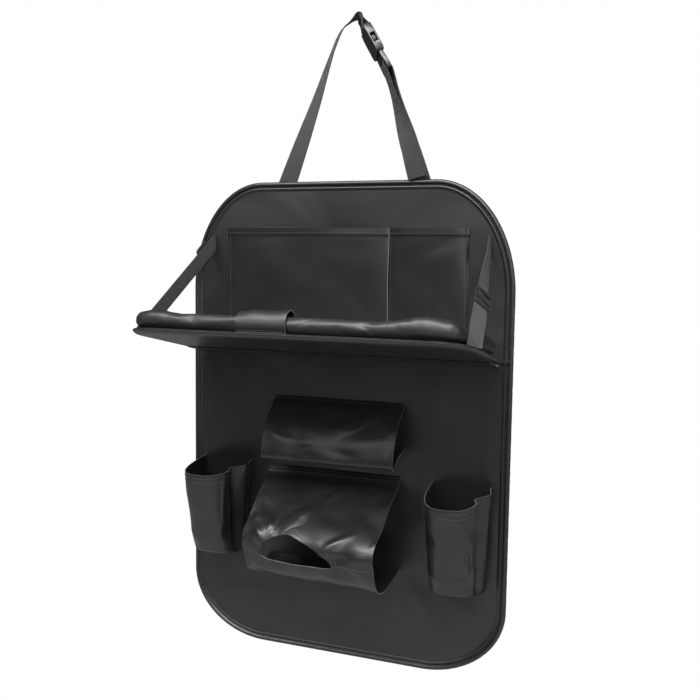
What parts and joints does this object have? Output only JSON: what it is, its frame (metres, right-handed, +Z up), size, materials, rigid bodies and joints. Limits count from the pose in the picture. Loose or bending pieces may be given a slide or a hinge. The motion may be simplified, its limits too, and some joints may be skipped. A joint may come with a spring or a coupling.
{
  "type": "car seat back organizer",
  "caption": "Hanging leatherette organizer for the back of a car seat, with a fold-down tray, a document pocket, sleeves and drink pockets.",
  "frame": {"origin": "centre of the panel's flat back face, which lies against the seat", "axes": "+X to the viewer's right, +Z up, +Y into the seat; the pockets face -Y"},
  "size_m": [0.4398, 0.1919, 0.8199],
  "materials": {
    "leatherette": "smooth black leatherette with a soft satin sheen",
    "backing": "plain black lining cloth",
    "webbing": "ribbed black webbing",
    "board": "stiff board",
    "buckle_plastic": "moulded black plastic, slightly glossy"
  },
  "bodies": {
    "root": {"panel_front": "leatherette", "panel_board": "board", "panel_back": "backing", "edge_binding": "leatherette", "document_pocket": "leatherette", "umbrella_sleeve": "leatherette", "tissue_sleeve_upper": "leatherette", "tissue_sleeve_lower": "leatherette", "can_pocket": "leatherette", "bottle_pocket": "leatherette", "hanging_strap_left": "webbing", "hanging_strap_right": "webbing", "buckle_socket": "buckle_plastic", "buckle_clip": "buckle_plastic", "tray_hinge_strip": "leatherette", "tray_strap_left": "webbing", "tray_strap_right": "webbing", "strap_slider_left": "buckle_plastic", "strap_slider_right": "buckle_plastic"},
    "tray": {"tray_board": "board", "tray_bottom_cover": "leatherette", "tray_top_cover": "leatherette", "tray_rim": "leatherette", "closure_tab": "leatherette"}
  },
  "joints": [
    {"name": "tray_fold", "type": "hinge", "parent": "root", "child": "tray", "pos_m": [0, -0.0054, 0.088], "axis": [-1, 0, 0], "range_deg": [0, 62], "deforming": ["tray_hinge_strip", "tray_strap_left", "tray_strap_right", "strap_slider_left", "strap_slider_right", "tray_rim"]}
  ]
}
